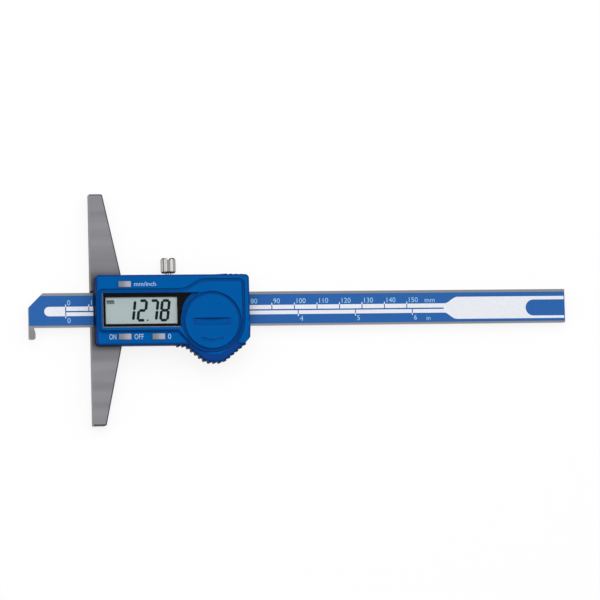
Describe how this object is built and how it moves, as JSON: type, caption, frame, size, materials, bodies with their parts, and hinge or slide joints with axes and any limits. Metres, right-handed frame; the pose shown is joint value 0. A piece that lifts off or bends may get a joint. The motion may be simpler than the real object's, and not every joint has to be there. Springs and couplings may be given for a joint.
{
  "type": "depth gauge",
  "caption": "Digital hook depth gauge: steel T base, sliding rule beam with a hooked end, display housing with push buttons, battery cover and lock screw.",
  "frame": {"origin": "on the back plane, in the measuring face of the base, on the centre line of the beam", "axes": "+X along the beam away from the work, +Y across the beam towards the lock screw, +Z out of the display; the gauge lies on its back"},
  "size_m": [0.2372, 0.1, 0.014],
  "materials": {
    "base_steel": "ground stainless steel, satin",
    "beam_steel": "ground stainless steel, brushed along the beam",
    "scale_laminate": "glass-epoxy circuit laminate",
    "scale_print": "blue printed foil with white scales",
    "gib_bronze": "bronze strip",
    "screw_steel": "zinc plated steel",
    "lock_chrome": "polished nickel-chrome plate",
    "housing_blue": "blue moulded ABS, fine satin texture",
    "cover_blue": "blue moulded ABS, fine satin texture",
    "window_clear": "clear acrylic with a black printed border",
    "lcd_glass": "grey-green reflective liquid crystal glass",
    "holder_plastic": "black moulded plastic",
    "connector_rubber": "conductive silicone strip",
    "board_laminate": "green solder mask",
    "chip_resin": "black moulding compound",
    "button_silver": "silver painted plastic",
    "pad_rubber": "silicone rubber",
    "cell_steel": "nickel plated steel",
    "contact_nickel": "nickel plated spring strip",
    "seal_rubber": "black nitrile rubber"
  },
  "bodies": {
    "slider": {"base_frame": "base_steel", "gib_strip": "gib_bronze", "gib_screws": "screw_steel", "housing": "housing_blue", "window_lens": "window_clear", "slider_board": "board_laminate", "processor": "chip_resin", "lcd_panel": "lcd_glass", "lcd_connectors": "connector_rubber", "lcd_holder": "holder_plastic", "key_pads": "pad_rubber", "battery": "cell_steel", "contact_minus": "contact_nickel", "contact_plus": "contact_nickel", "housing_screws": "screw_steel", "board_screws": "screw_steel"},
    "ruler": {"beam": "beam_steel", "scale_board": "scale_laminate", "scale_label": "scale_print"},
    "lock_shaft": {"lock_stud": "lock_chrome"},
    "lock_head": {"lock_knob": "lock_chrome"},
    "unit_key": {"button_mm_inch": "button_silver"},
    "power_key": {"button_on_off": "button_silver"},
    "zero_key": {"button_zero": "button_silver"},
    "seal": {"cover_seal": "seal_rubber"},
    "cover": {"battery_cover": "cover_blue"}
  },
  "joints": [
    {"name": "beam_slide", "type": "slide", "parent": "slider", "child": "ruler", "axis": [1, 0, 0], "range_m": [-0.1372, 0.0241]},
    {"name": "lock_advance", "type": "slide", "parent": "slider", "child": "lock_shaft", "axis": [0, 1, 0], "range_m": [-0.0004, 0.0009]},
    {"name": "lock_turn", "type": "hinge", "parent": "lock_shaft", "child": "lock_head", "pos_m": [0.0341, 0, 0.00375], "axis": [0, 1, 0], "range_deg": [-320.5, 720.5]},
    {"name": "cover_lift", "type": "slide", "parent": "slider", "child": "seal", "axis": [0, 0, 1], "range_m": [0, 0.012]},
    {"name": "cover_turn", "type": "hinge", "parent": "seal", "child": "cover", "pos_m": [0.05125, -0.00605, 0.0126], "axis": [0, 0, 1], "range_deg": [0, 45]},
    {"name": "unit_press", "type": "slide", "parent": "slider", "child": "unit_key", "axis": [0, 0, -1], "range_m": [0, 0.0006], "stiffness_N_per_m": 800, "springref_m": -0.0005},
    {"name": "power_press", "type": "slide", "parent": "slider", "child": "power_key", "axis": [0, 0, -1], "range_m": [0, 0.0006], "stiffness_N_per_m": 800, "springref_m": -0.0005},
    {"name": "zero_press", "type": "slide", "parent": "slider", "child": "zero_key", "axis": [0, 0, -1], "range_m": [0, 0.0006], "stiffness_N_per_m": 800, "springref_m": -0.0005}
  ],
  "couplings": [
    {"joint": "lock_turn", "follows": "lock_advance", "rad_per_m": 13963}
  ]
}
